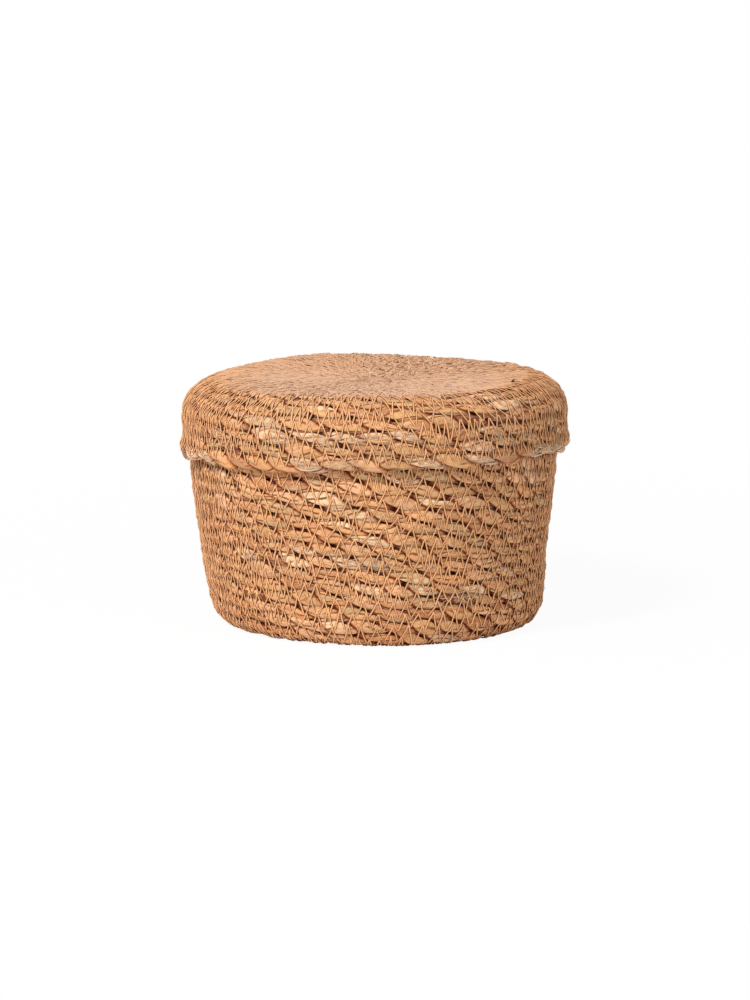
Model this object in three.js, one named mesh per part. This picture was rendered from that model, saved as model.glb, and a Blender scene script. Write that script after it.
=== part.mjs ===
// Round lidded basket of coiled rope, in millimetres, +Z up.
// The basket and its lid are each one rope wound from the middle outwards, row beside row.
// The origin is the middle of the base's underside.
import * as THREE from "three";

// Rope
const ropeWidth = 6.9;
const ropeThickness = 5.2;
const rowGap = 0.5;
const ropeFlatWidth = 4.6;
const ropeWidestOut = 0.4;

// Basket, measured on the outside of the rope: its wall leaves the foot, widens to the belly
// and is drawn in a little at the rim
const baseFlatRadius = 85.7;
const footSpread = 12;
const footHeight = 16.6;
const waistFlare = 2.9;
const waistHeight = 45;
const bellyFlare = 8.2;
const bellyHeight = 88;
const rimDrawIn = 0.4;
const basketHeight = 130;

// Lid, measured on the outside of the rope
const lidDepth = 43;
const shoulderWidth = 24.4;
const shoulderHeight = 20.8;
const dishDepth = 3;
const dishBendShare = 0.45;

// Clearances
const lidFitClearance = 1.2;
const lidSeatClearance = 0.3;
const ropeEndClearance = 0.3;

// Facets: a turn has 20 straight steps, and the small turns near the middle have 10
const stepsPerTurn = 20;
const coarseTurns = 3;
const coarseStepRatio = 2;

const footRadius = baseFlatRadius + footSpread;
const waistRadius = footRadius + waistFlare;
const bellyRadius = footRadius + bellyFlare;
const rimRadius = bellyRadius - rimDrawIn;

const fullTurn = 2 * Math.PI;
const rowPitch = ropeWidth + rowGap;
const halfRope = ropeThickness / 2;
const fineStep = fullTurn / stepsPerTurn;
const ropeEndAngle = Math.PI / 2 + fineStep / 2;

// The rope's cross-section: its flat side lies on the outside of the basket.
const ropeSection = [
  new THREE.Vector2(-ropeFlatWidth / 2, halfRope),
  new THREE.Vector2(ropeFlatWidth / 2, halfRope),
  new THREE.Vector2(ropeWidth / 2, ropeWidestOut),
  new THREE.Vector2(0, -halfRope),
  new THREE.Vector2(-ropeWidth / 2, ropeWidestOut),
];

// The line that the rope's rows follow in the basket, from the middle of the base to the rim
function basketRowLine() {
  const line = new THREE.CurvePath();
  const flatEnd = new THREE.Vector2(baseFlatRadius, halfRope);
  line.add(new THREE.LineCurve(new THREE.Vector2(rowPitch / 2, halfRope), flatEnd));
  line.add(
    new THREE.EllipseCurve(
      baseFlatRadius,
      footHeight,
      footRadius - halfRope - baseFlatRadius,
      footHeight - halfRope,
      -Math.PI / 2,
      0,
    ),
  );
  line.add(
    new THREE.SplineCurve([
      new THREE.Vector2(footRadius - halfRope, footHeight),
      new THREE.Vector2(waistRadius - halfRope, waistHeight),
      new THREE.Vector2(bellyRadius - halfRope, bellyHeight),
      new THREE.Vector2(rimRadius - halfRope, basketHeight - ropeWidth / 2),
    ]),
  );
  return line;
}

// The line that the rope's rows follow in the lid, from the middle of the top to the lower edge.
// Height zero is the lid's lower edge.
function lidRowLine() {
  const wallRadius = bellyRadius + lidFitClearance + halfRope;
  const crestRadius = wallRadius + halfRope - shoulderWidth;
  const crestHeight = lidDepth - halfRope;
  const shoulderFoot = lidDepth - shoulderHeight;
  const line = new THREE.CurvePath();
  line.add(
    new THREE.CubicBezierCurve(
      new THREE.Vector2(rowPitch / 2, crestHeight - dishDepth),
      new THREE.Vector2(crestRadius * dishBendShare, crestHeight - dishDepth),
      new THREE.Vector2(crestRadius * (1 - dishBendShare), crestHeight),
      new THREE.Vector2(crestRadius, crestHeight),
    ),
  );
  line.add(
    new THREE.EllipseCurve(
      crestRadius,
      shoulderFoot,
      wallRadius - crestRadius,
      crestHeight - shoulderFoot,
      Math.PI / 2,
      0,
      true,
    ),
  );
  line.add(
    new THREE.LineCurve(
      new THREE.Vector2(wallRadius, shoulderFoot),
      new THREE.Vector2(wallRadius, ropeWidth / 2),
    ),
  );
  return line;
}

// A winding is the rope's rings from the middle to its end, one ring at each bend.
// Each ring has its angle round the axis and its section's points as radius and height.
// outwards is 1 where the outside lies to the left of the row line's direction, or -1.
function windRope(line, outwards) {
  const length = line.getLength();
  const steps = Math.floor((length / rowPitch) * stepsPerTurn) - 1;
  const startAngle = ropeEndAngle + (steps + 0.5) * fineStep;
  const ringAt = (step) => {
    const share = (step * rowPitch) / stepsPerTurn / length;
    const middle = line.getPoint(share);
    const along = line.getTangent(share);
    const out = new THREE.Vector2(-along.y, along.x).multiplyScalar(outwards);
    const points = ropeSection.map((p) =>
      middle.clone().addScaledVector(along, p.x).addScaledVector(out, p.y),
    );
    return { angle: startAngle - step * fineStep, points };
  };
  const rings = [];
  for (let step = 0; step <= steps + 1; step += 1) {
    const coarse = step < coarseTurns * stepsPerTurn;
    if (!coarse || step % coarseStepRatio === 0) {
      rings.push({ step, ...ringAt(step) });
    }
  }
  return { rings, steps };
}

// A point of a ring in space
function placed(ring, index) {
  const p = ring.points[index];
  return new THREE.Vector3(p.x * Math.cos(ring.angle), p.x * Math.sin(ring.angle), p.y);
}

// Where a rope is cut: square to the straight stretch in the middle of a step
function cutPoints(winding, step, side) {
  const next = winding.rings.findIndex((ring) => ring.step > step);
  const before = winding.rings[next - 1];
  const after = winding.rings[next];
  return ropeSection.map((_, index) => {
    const from = placed(before, index);
    const to = placed(after, index);
    const shift = (side * ropeEndClearance) / 2 / from.distanceTo(to);
    return from.lerp(to, 0.5 + shift);
  });
}

// One closed tube of the winding, from one cut to another. The first one starts at a bend.
function ropeSolid(winding, firstCut, lastCut) {
  const loops = [];
  if (firstCut > 0) {
    loops.push(cutPoints(winding, firstCut, 1));
  }
  for (const ring of winding.rings) {
    if (ring.step >= firstCut && ring.step < lastCut) {
      loops.push(ropeSection.map((_, index) => placed(ring, index)));
    }
  }
  loops.push(cutPoints(winding, lastCut, -1));

  const sides = ropeSection.length;
  const index = [];
  for (let loop = 0; loop + 1 < loops.length; loop += 1) {
    for (let side = 0; side < sides; side += 1) {
      const a = loop * sides + side;
      const b = loop * sides + ((side + 1) % sides);
      index.push(a, b, a + sides, b, b + sides, a + sides);
    }
  }
  const last = (loops.length - 1) * sides;
  for (let side = 1; side + 1 < sides; side += 1) {
    index.push(0, side + 1, side);
    index.push(last, last + side, last + side + 1);
  }
  const points = loops.flat();
  if (volumeOf(points, index) < 0) {
    index.reverse();
  }
  const geometry = new THREE.BufferGeometry().setFromPoints(points);
  geometry.setIndex(index);
  geometry.computeVertexNormals();
  return geometry;
}

function volumeOf(points, index) {
  let volume = 0;
  for (let i = 0; i < index.length; i += 3) {
    const [a, b, c] = [points[index[i]], points[index[i + 1]], points[index[i + 2]]];
    volume += a.dot(b.clone().cross(c)) / 6;
  }
  return volume;
}

// The rope's sections where the half-plane at one angle cuts a winding, one for each row
function sectionsAt(winding, angle) {
  const sections = [];
  const { rings } = winding;
  for (let i = 0; i + 1 < rings.length; i += 1) {
    const step = rings[i].angle - rings[i + 1].angle;
    const turned = (((rings[i].angle - angle) % fullTurn) + fullTurn) % fullTurn;
    if (turned < step) {
      sections.push(
        rings[i].points.map((p, index) => {
          const q = rings[i + 1].points[index];
          const near = p.x * Math.sin(turned);
          const share = near / (near + q.x * Math.sin(step - turned));
          const x = p.x + share * (q.x * Math.cos(step) - p.x);
          const y = share * q.x * Math.sin(step);
          return new THREE.Vector2(Math.hypot(x, y), p.y + share * (q.y - p.y));
        }),
      );
    }
  }
  return sections;
}

function distanceToEdge(point, from, to) {
  const edge = to.clone().sub(from);
  const share = point.clone().sub(from).dot(edge) / edge.lengthSq();
  return point.distanceTo(from.clone().addScaledVector(edge, Math.min(1, Math.max(0, share))));
}

// The least distance between two sections, measured from each one's corners to the other's edges
function sectionGap(one, other) {
  let least = Infinity;
  for (const [points, outline] of [[one, other], [other, one]]) {
    for (const point of points) {
      outline.forEach((from, index) => {
        const to = outline[(index + 1) % outline.length];
        least = Math.min(least, distanceToEdge(point, from, to));
      });
    }
  }
  return least;
}

// Each row's sections at angles all round a winding, on both sides of each bend
const samplesPerStep = 8;

function sectionsAround(winding) {
  const angles = Array.from(
    { length: samplesPerStep * stepsPerTurn },
    (_, i) => ((i + 0.5) * fineStep) / samplesPerStep,
  );
  return angles.map((angle) => sectionsAt(winding, angle));
}

function leastRowGap(winding) {
  let least = Infinity;
  for (const rows of sectionsAround(winding)) {
    for (let row = 0; row + 1 < rows.length; row += 1) {
      least = Math.min(least, sectionGap(rows[row], rows[row + 1]));
    }
  }
  return least;
}

// The least distance between the lid, lifted by a height, and the basket's top rows
function leastLidGap(lidSections, basketSections, lift) {
  let least = Infinity;
  lidSections.forEach((lidRows, i) => {
    const basketRows = basketSections[i].slice(-rowsUnderLid);
    for (const lidRow of lidRows) {
      const lifted = lidRow.map((p) => new THREE.Vector2(p.x, p.y + lift));
      for (const row of basketRows) {
        least = Math.min(least, sectionGap(lifted, row));
      }
    }
  });
  return least;
}

// The lid comes down from above the basket until it lies its seat clearance above the rim.
// It comes down by half a rope at a time, so that no row passes through another between steps.
const rowsUnderLid = 5;
const seatTolerance = 0.001;

function seatedLift(lid, basket) {
  const lidSections = sectionsAround(lid);
  const basketSections = sectionsAround(basket);
  const isClear = (lift) => leastLidGap(lidSections, basketSections, lift) > lidSeatClearance;
  let clear = basketHeight;
  while (isClear(clear - halfRope)) {
    clear -= halfRope;
  }
  let blocked = clear - halfRope;
  while (clear - blocked > seatTolerance) {
    const middle = (clear + blocked) / 2;
    if (isClear(middle)) {
      clear = middle;
    } else {
      blocked = middle;
    }
  }
  return clear;
}

function ropeMaterial(color, roughness) {
  return new THREE.MeshStandardMaterial({ color, roughness, metalness: 0, flatShading: true });
}

function named(name, geometry, material) {
  const mesh = new THREE.Mesh(geometry, material);
  mesh.name = name;
  return mesh;
}

// A winding is shared out among its flat coil, its wall coil and the free braid at its edge.
function addCoils(group, winding, flatLength, names, colours) {
  const flatCut = Math.floor((flatLength / rowPitch) * stepsPerTurn) + 0.5;
  const braidCut = winding.steps - stepsPerTurn + 0.5;
  const end = winding.steps + 0.5;
  const cuts = [0, flatCut, braidCut, end];
  names.forEach((name, i) => {
    const solid = ropeSolid(winding, cuts[i], cuts[i + 1]);
    group.add(named(name, solid, ropeMaterial(colours[i], 0.85)));
    const loops = (cuts[i + 1] - cuts[i]) / stepsPerTurn;
    console.log(`${name}: ${loops.toFixed(1)} loops, ${solid.index.count / 3} triangles`);
  });
}

const basketLine = basketRowLine();
const basketWinding = windRope(basketLine, -1);
const basketGroup = new THREE.Group();
addCoils(
  basketGroup,
  basketWinding,
  basketLine.curves[0].getLength(),
  ["basket_base_coil", "basket_wall_coil", "basket_rim_braid"],
  ["#a9794e", "#b98a5b", "#b1804f"],
);

const lidLine = lidRowLine();
const lidWinding = windRope(lidLine, 1);
const lidGroup = new THREE.Group();
addCoils(
  lidGroup,
  lidWinding,
  lidLine.curves[0].getLength(),
  ["lid_top_coil", "lid_wall_coil", "lid_rim_braid"],
  ["#c79b74", "#bb8c5e", "#bf8d5a"],
);
lidGroup.position.z = seatedLift(lidWinding, basketWinding);

console.log(`least gap between rows: basket ${leastRowGap(basketWinding).toFixed(3)} mm`);
console.log(`least gap between rows: lid ${leastRowGap(lidWinding).toFixed(3)} mm`);
console.log(`lid's lower edge at ${lidGroup.position.z.toFixed(2)} mm`);
console.log(`overall height ${(lidGroup.position.z + lidDepth).toFixed(2)} mm`);

const lidded_basket = new THREE.Group();
lidded_basket.add(basketGroup, lidGroup);

export default lidded_basket;
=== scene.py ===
"""A lidded basket of coiled grass rope, sewn row to row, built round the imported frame.

The basket and the lid are each one two-strand rope, wound from the middle outwards along the
same row line as the frame's coils. Threads, loose fibres and frayed ends lie on those ropes.
"""
import math

import bpy
import numpy as np
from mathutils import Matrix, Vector


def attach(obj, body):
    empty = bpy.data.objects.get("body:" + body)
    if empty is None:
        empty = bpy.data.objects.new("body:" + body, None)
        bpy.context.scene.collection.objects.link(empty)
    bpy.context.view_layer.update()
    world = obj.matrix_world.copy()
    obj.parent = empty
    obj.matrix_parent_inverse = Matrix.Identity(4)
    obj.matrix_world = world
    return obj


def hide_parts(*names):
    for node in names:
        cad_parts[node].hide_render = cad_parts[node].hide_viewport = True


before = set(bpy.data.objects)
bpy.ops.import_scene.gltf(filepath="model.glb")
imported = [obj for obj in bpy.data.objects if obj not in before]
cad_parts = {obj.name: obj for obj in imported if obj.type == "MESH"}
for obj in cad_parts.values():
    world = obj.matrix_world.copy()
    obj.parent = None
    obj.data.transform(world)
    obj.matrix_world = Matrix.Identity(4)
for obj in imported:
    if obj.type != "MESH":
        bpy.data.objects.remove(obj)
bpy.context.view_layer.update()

MM = 0.001
TURN = 2 * math.pi

# Camera, at the photograph's viewing angle

CAMERA_DISTANCE = 2.5
CAMERA_ELEVATION = math.radians(9.68)
CAMERA_LENS = 155.0
CAMERA_SENSOR = 36.0
AIM_HEIGHT = 68.6 * MM
CAMERA_RISE, CAMERA_LEVEL = math.sin(CAMERA_ELEVATION), math.cos(CAMERA_ELEVATION)
TO_CAMERA = (0.0, -CAMERA_LEVEL, CAMERA_RISE)


def add_camera():
    data = bpy.data.cameras.new("camera")
    data.lens = CAMERA_LENS
    data.sensor_width = CAMERA_SENSOR
    camera = bpy.data.objects.new("camera", data)
    camera.location = Vector((0.0, 0.0, AIM_HEIGHT)) + Vector(TO_CAMERA) * CAMERA_DISTANCE
    camera.rotation_euler = (-Vector(TO_CAMERA)).to_track_quat("-Z", "Y").to_euler()
    bpy.context.scene.collection.objects.link(camera)
    bpy.context.scene.camera = camera


add_camera()

# Smooth shares, and noise that is the same in each run

NOISE_VALUES = 4096
NOISE_SQUARE = 512
NOISE_START = 7.0


def ease(part):
    return part * part * (3 - 2 * part)


def smooth_step(value, low, high):
    return ease(np.clip((np.asarray(value, float) - low) / (high - low), 0, 1))


def band(value, starts, full, falls, ends):
    """1 from where it is full to where it falls, and 0 before its start and after its end."""
    return smooth_step(value, starts, full) * (1 - smooth_step(value, falls, ends))


def bell(value, middle, width):
    return np.exp(-(((value - middle) / width) ** 2))


def smooth_noise(place, spacing, seed):
    """Noise from -1 to 1 along a line, with one random value every spacing."""
    values = np.random.default_rng(seed).uniform(-1, 1, NOISE_VALUES)
    at = np.asarray(place) / spacing + NOISE_START
    low = np.floor(at).astype(int)
    part = ease(at - low)
    return values[low % NOISE_VALUES] * (1 - part) + values[(low + 1) % NOISE_VALUES] * part


def smooth_noise_2d(x, y, seed):
    """Noise from -1 to 1 over a plane, with one random value in each unit square."""
    values = np.random.default_rng(seed).uniform(-1, 1, (NOISE_SQUARE, NOISE_SQUARE))
    low_x, low_y = np.floor(x), np.floor(y)
    part_x, part_y = ease(x - low_x), ease(y - low_y)
    column, row = low_x.astype(int) % NOISE_SQUARE, low_y.astype(int) % NOISE_SQUARE
    right, above = (column + 1) % NOISE_SQUARE, (row + 1) % NOISE_SQUARE
    low = values[column, row] * (1 - part_x) + values[right, row] * part_x
    high = values[column, above] * (1 - part_x) + values[right, above] * part_x
    return low * (1 - part_y) + high * part_y


def unit(vectors):
    return vectors / np.linalg.norm(vectors, axis=-1, keepdims=True)


# The row lines, as in the frame's own coils: radius and height of the rope's middle, in mm

PITCH = 7.4 * MM
ROPE_END_ANGLE = math.radians(99)
STEPS_PER_TURN = 20
LINE_POINTS = 4000
LINE_SHARE = np.linspace(0, 1, LINE_POINTS)[:, None]
COIL_RADIUS = 3.7
BASE_RADIUS, BASE_HEIGHT = 85.7, 2.6
FOOT_WIDTH, FOOT_RISE = 9.4, 14.0
FOOT_TOP = (95.1, 16.6)
LOWER_WALL = (98.0, 45.0)
BELLY = (103.3, 88.0)
BASKET_RIM = (102.9, 126.55)
DISH_HEIGHT = 37.4
DISH_BENDS = (39.56, 48.35)
LID_TOP_RADIUS, LID_TOP_HEIGHT = 87.9, 40.4
SHOULDER_WIDTH, SHOULDER_RISE = 21.8, 18.2
LID_SIDE_TOP = (109.7, 22.2)
LID_EDGE_HEIGHT = 3.45
LID_LIFT = 99.12


def straight(start, end):
    return np.array(start) * (1 - LINE_SHARE) + np.array(end) * LINE_SHARE


def quarter(middle, half_width, half_height, start):
    """A quarter of an ellipse that ends level with its middle, from a start in degrees."""
    angle = np.radians(np.linspace(start, 0, LINE_POINTS))
    return np.stack(
        [middle[0] + half_width * np.cos(angle), middle[1] + half_height * np.sin(angle)], 1
    )


def bezier(a, b, c, d, t=LINE_SHARE):
    a, b, c, d = (np.array(p) for p in (a, b, c, d))
    return a * (1 - t) ** 3 + 3 * b * t * (1 - t) ** 2 + 3 * c * t * t * (1 - t) + d * t ** 3


def catmull_rom(points):
    """A smooth line through points, as a cubic from each to the next."""
    points = np.array(points)
    last = len(points) - 1
    t = np.linspace(0, last, LINE_POINTS)
    low = np.minimum(t.astype(int), last - 1)
    before, start, end, after = (points[np.clip(low + step, 0, last)] for step in (-1, 0, 1, 2))
    leave, arrive = (end - before) / 6, (after - start) / 6
    return bezier(start, start + leave, end - arrive, end, (t - low)[:, None])


BASKET_PARTS = [
    straight((COIL_RADIUS, BASE_HEIGHT), (BASE_RADIUS, BASE_HEIGHT)),
    quarter((BASE_RADIUS, FOOT_TOP[1]), FOOT_WIDTH, FOOT_RISE, -90),
    catmull_rom([FOOT_TOP, LOWER_WALL, BELLY, BASKET_RIM]),
]
LID_PARTS = [
    bezier(
        (COIL_RADIUS, DISH_HEIGHT), (DISH_BENDS[0], DISH_HEIGHT),
        (DISH_BENDS[1], LID_TOP_HEIGHT), (LID_TOP_RADIUS, LID_TOP_HEIGHT),
    ),
    quarter((LID_TOP_RADIUS, LID_SIDE_TOP[1]), SHOULDER_WIDTH, SHOULDER_RISE, 90),
    straight(LID_SIDE_TOP, (LID_SIDE_TOP[0], LID_EDGE_HEIGHT)),
]

# How rows stray along the row line, with places on it in mm, and how the form stands out

BASKET_SAG, BASKET_TILT = 7.0 * MM, 3.5 * MM
BASKET_SAG_GROWS = (95 * MM, 165 * MM)
BASKET_SAG_FALLS = (180 * MM, 215 * MM)
BASKET_SAG_LOSS = 0.55
BASKET_LEAN = 0.9 * MM
BELLY_BAND = (110 * MM, 130 * MM, 175 * MM, 205 * MM)
BASKET_WAVES_START = (100 * MM, 130 * MM)
LID_SAG, LID_TILT = 2.4 * MM, -0.2 * MM
LID_SAG_GROWS = (10 * MM, 120 * MM)
LID_EDGE_RISE = 1.8 * MM
LID_RAISED_SIDE = (-62, 0.25)
LID_RISE_GROWS = (100 * MM, 135 * MM)
LID_WAVES_START = (15 * MM, 60 * MM)
LID_WANDER_TURN = 1.3
WANDER_STARTS = (20 * MM, 90 * MM)
ROW_WANDER = 0.7 * MM
WANDERS = [
    # waves round the object, waves per metre along the row line, phase
    (4, 11, 0.3), (7, -17, 1.9), (9, 29, 4.1), (12, -37, 2.6), (15, 45, 5.2), (19, -61, 0.9),
]
# Waves in the walls: height in mm, waves round the object, radians per metre, phase
BASKET_WAVES = [(0.45, 2, 23, 0.6), (0.3, 7, 61, 0.0)]
LID_WAVES = [(0.4, 2, -27, 0.0), (0.3, 5, 53, 0.0)]
# Places that are fuller or pressed in: by how many mm, on which side in degrees, from which
# cosine off it, and either the middle and width or the four ends of a band on the row line
FOOT_PLACE = (94, 13)
LID_SIDE_BAND = (106, 116, 124, 133)
BASKET_FORMS = [(-1.9, 208, 0.3, FOOT_PLACE), (1.5, 312, 0.6, FOOT_PLACE)]
LID_FORMS = [
    (-1.8, 180, 0.3, (96, 14)),
    (1.6, 0, 0.5, (93, 9)),
    (-1.1, 0, 0.5, LID_SIDE_BAND),
    (-0.9, 180, 0.5, LID_SIDE_BAND),
    (-0.8, 52, 0.4, (50, 85, 95, 115)),
]


def facing(angle, side, least):
    """1 on a side, given in degrees, and 0 from where the cosine off it is the least."""
    return smooth_step(np.cos(angle - math.radians(side)), least, 1.0)


def stands_out(forms, waves, waves_start, angle, along):
    """How far the form's waves and its fuller and pressed places stand out."""
    out = 0.0
    for height, count, rate, phase in waves:
        out = out + height * MM * np.sin(count * angle + rate * along + phase)
    out = out * smooth_step(along, *waves_start)
    for height, side, least, place in forms:
        shape = bell if len(place) == 2 else band
        out = out + height * MM * shape(along / MM, *place) * facing(angle, side, least)
    return out


def wander(angle, along):
    """How far the rows stray from their line, all together at each place."""
    total = 0.0
    for waves, rate, phase in WANDERS:
        total = total + np.sin(waves * angle + TURN * rate * along + phase)
    total = total * smooth_step(along, *WANDER_STARTS)
    return ROW_WANDER * total / math.sqrt(len(WANDERS) / 2)


def basket_shift(angle, along):
    """How far the rows sag at the sides and stray, and how far the form stands out."""
    sag = smooth_step(along, *BASKET_SAG_GROWS)
    sag = sag * (1 - BASKET_SAG_LOSS * smooth_step(along, *BASKET_SAG_FALLS))
    shift = -sag * (BASKET_SAG * np.cos(angle) ** 2 + BASKET_TILT * np.cos(angle))
    out = stands_out(BASKET_FORMS, BASKET_WAVES, BASKET_WAVES_START, angle, along)
    # The body leans a little to the left
    out = out - BASKET_LEAN * band(along, *BELLY_BAND) * np.cos(angle)
    return shift + wander(angle, along), out


def lid_shift(angle, along):
    """The same for the lid, whose edge also rides up a little at the front right."""
    sag = smooth_step(along, *LID_SAG_GROWS)
    shift = sag * (LID_SAG * np.cos(angle) ** 2 + LID_TILT * np.cos(angle))
    raised = facing(angle, *LID_RAISED_SIDE) * smooth_step(along, *LID_RISE_GROWS)
    shift = shift + wander(angle + LID_WANDER_TURN, along) - LID_EDGE_RISE * raised
    return shift, stands_out(LID_FORMS, LID_WAVES, LID_WAVES_START, angle, along)


# The last row's outer side lies this share of a row out from the line's end
EDGE_SHARE = 0.45
# The rope's tucked-in start reaches a little past the middle and closes it
PAST_MIDDLE = 2.2 * MM


class Shell:
    """The basket or the lid: its row line, its outside, and how its rows wander."""

    def __init__(self, parts, lift, outside, twist, rows_shift):
        points = np.concatenate([parts[0]] + [part[1:] for part in parts[1:]])
        self.points = (points + np.array([0, lift])) * MM
        gaps = np.linalg.norm(np.diff(self.points, axis=0), axis=1)
        self.along = np.concatenate([[0], np.cumsum(gaps)])
        self.lean = unit(np.gradient(self.points, self.along, axis=0))
        self.length = self.along[-1]
        self.flat_length = np.linalg.norm(np.diff(parts[0], axis=0), axis=1).sum() * MM
        # The frame's coils end and are cut at the middle of a step
        steps = math.floor(self.length / PITCH * STEPS_PER_TURN) - 1
        flat_steps = math.floor(self.flat_length / PITCH * STEPS_PER_TURN)
        step = PITCH / STEPS_PER_TURN
        self.end = (steps + 0.5) * step
        self.braid_cut = (steps - STEPS_PER_TURN + 0.5) * step
        self.flat_cut = (flat_steps + 0.5) * step
        self.outside = outside
        self.twist = twist
        self.rows_shift = rows_shift

    def angle(self, along):
        """The rope's angle round the axis where its middle has this place along the line."""
        return ROPE_END_ANGLE + TURN * (self.end - np.asarray(along)) / PITCH

    def up_wall(self, share):
        """The place along the line at a share of the wall, from the flat coil to the last row."""
        return self.flat_cut + share * (self.braid_cut - self.flat_cut)

    def row_middle(self, angle, along):
        """The place along the line of the row's middle that is nearest at that angle."""
        turned = (np.asarray(angle) - ROPE_END_ANGLE) / TURN
        row = np.round((self.end - along) / PITCH - turned)
        return self.end - PITCH * (row + turned)

    def edge(self, angle):
        """The place along the line of the last row's outer side at an angle."""
        return self.end + PITCH * (EDGE_SHARE - (np.asarray(angle) - ROPE_END_ANGLE) / TURN % 1)

    def radius(self, along):
        return np.interp(along, self.along, self.points[:, 0])

    def place(self, angle, along, height):
        """The point at an angle, a place along the row line and a height over it."""
        angle = np.asarray(angle, float)
        shift, out = self.rows_shift(angle, along)
        at = along + shift
        inside = np.clip(at, 0, self.length)
        past = at - inside
        level = np.interp(inside, self.along, self.points[:, 1])
        lean = [np.interp(inside, self.along, part) for part in self.lean.T]
        lean_r, lean_z = lean / np.hypot(*lean)
        height = height + out
        radius = self.radius(inside) + lean_r * past - self.outside * lean_z * height
        radius = np.maximum(radius, -PAST_MIDDLE)
        level = level + lean_z * past + self.outside * lean_r * height
        return np.stack([radius * np.cos(angle), radius * np.sin(angle), level], -1)


basket = Shell(BASKET_PARTS, lift=0.0, outside=-1, twist=-1, rows_shift=basket_shift)
lid = Shell(LID_PARTS, lift=LID_LIFT, outside=1, twist=1, rows_shift=lid_shift)

# Colours, given as a display shows them, from 0 to 255


def colour(red, green, blue):
    """The renderer's linear colour, by the display's standard curve."""
    linear = [
        share / 12.92 if share <= 0.04045 else ((share + 0.055) / 1.055) ** 2.4
        for share in (red / 255, green / 255, blue / 255)
    ]
    return (*linear, 1.0)


THREAD = colour(238, 178, 125)
# Painted shade at the thread's sides
THREAD_SIDE_SHADE = colour(116, 50, 22)
HAZE = colour(222, 186, 160)
HAZE_DARK = colour(196, 136, 88)
HAZE_PALE = colour(238, 206, 178)
FLUFF_BROWN = colour(172, 98, 54)
FLUFF_TAN = colour(240, 188, 140)
DRY_TAN = colour(232, 194, 156)
FIBRE_DARK = colour(84, 44, 26)
FIBRE_PALE = colour(248, 218, 182)
# Painted shade: in the creases, under leaf edges and in the gaps between shreds, and at the rows'
# sides
CREASE_DARK_SHADE = colour(60, 18, 6)
LEAF_EDGE_AND_GAP_SHADE = colour(112, 52, 24)
GROOVE_SHADE = colour(168, 88, 46)
CREASE_SHADE = colour(198, 132, 94)
WHITE = (1.0, 1.0, 1.0, 1.0)
FLOOR_GREY = (0.95, 0.95, 0.95, 1.0)

LEAVES = [
    # colour, how fibrous the leaf is, how much there is of it
    (colour(240, 177, 121), 0.25, 6.0),
    (colour(233, 167, 112), 0.25, 5.0),
    (colour(248, 190, 140), 0.30, 4.2),
    (colour(219, 151, 101), 0.35, 2.8),
    (colour(229, 173, 117), 0.20, 2.2),
    (colour(208, 168, 120), 0.20, 0.9),
    (colour(251, 213, 168), 0.35, 0.4),
    (colour(243, 201, 162), 1.00, 0.4),
    (colour(196, 130, 84), 0.50, 0.6),
    (colour(120, 67, 41), 0.60, 0.3),
]
TAN, PALE_TAN, BROWN_TAN, OCHRE, OLIVE = 0, 2, 3, 4, 5
CREAM, SHREDDED, RED_BROWN, DARK_BROWN = 6, 7, 8, 9
LEAF_TABLE = 8192
leaf_shares = np.array([share for *leaf, share in LEAVES])
leaf_shares = leaf_shares / leaf_shares.sum()
leaf_starts = np.concatenate([[0.0], np.cumsum(leaf_shares)])

# Leaves that stand out in the photograph: how far right of the object's middle and how high
# over the camera's aim they are seen, in mm

BASKET_MARKS = {
    CREAM: [
        (-29, -3), (-2, -6), (0, -26), (-44, -34), (68, 4), (33, -48), (49, -50), (-10, -49),
    ],
    SHREDDED: [
        (-35, -26), (-19, -35), (-70, -31), (20, 10), (86, 10), (31, -56), (76, -52),
        (70, -43), (-1, -58), (45, -77),
    ],
    PALE_TAN: [(-62, -57), (-47, -69), (-67, -42), (-14, -56)],
    RED_BROWN: [(65, 7), (42, -64), (-73, -65), (58, -67), (-46, 6)],
    DARK_BROWN: [(45, -55)],
    OCHRE: [(26, -35), (11, -35), (42, -21), (60, -14)],
    TAN: [(17, 6)],
}
LID_MARKS = {
    SHREDDED: [
        (-58, 34), (-40, 34), (-22, 33), (-1, 34), (17, 33), (-87, 39), (72, 54), (63, 40),
        (64, 56), (82, 53), (61, 37), (93, 34), (-35, 18), (26, 20), (60, 22), (99, 27),
        (105, 29), (-104, 27), (-95, 24),
    ],
    RED_BROWN: [(-13, 41), (36, 42), (46, 40), (89, 46), (96, 38), (86, 24)],
    DARK_BROWN: [(69, 45), (61, 47), (78, 45)],
    OLIVE: [(-56, 28), (39, 29), (-3, 29), (-95, 30), (72, 31), (58, 52), (-43, 49), (22, 49)],
    TAN: [(-73, 34), (-43, 44), (11, 41), (-38, 28), (-69, 20), (-56, 19), (-47, 18), (-22, 17)],
    OCHRE: [
        (87, 60), (40, 50), (62, 33), (8, 50), (-30, 48), (-20, 28), (55, 52), (14, 28),
        (8, 18), (44, 21),
    ],
    PALE_TAN: [(54, 29), (-7, 17)],
    CREAM: [(-58, 47)],
    BROWN_TAN: [(-82, 22), (74, 22)],
}
# How far from the camera a mm of the photograph's view is a mm of the object
TRUE_DISTANCE = 2.41
MARK_ROW_SHARE = 0.4
HIDDEN_DISTANCE = 1000


def front_view(shell, angle, along):
    """Where places on a rope's back are seen, in mm, and a large number where they are hidden."""
    places = shell.place(angle, along, ROPE_HALF_THICK)
    outwards = shell.place(angle, along, ROPE_HALF_THICK + MM) - places
    hidden = np.where(outwards @ TO_CAMERA > 0, 0, HIDDEN_DISTANCE)
    up = places[:, 2] - AIM_HEIGHT
    high = up * CAMERA_LEVEL + places[:, 1] * CAMERA_RISE
    near = up * CAMERA_RISE - places[:, 1] * CAMERA_LEVEL
    closer = TRUE_DISTANCE / (CAMERA_DISTANCE - near)
    return np.stack([places[:, 0] * closer, high * closer], 1) / MM, hidden


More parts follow.
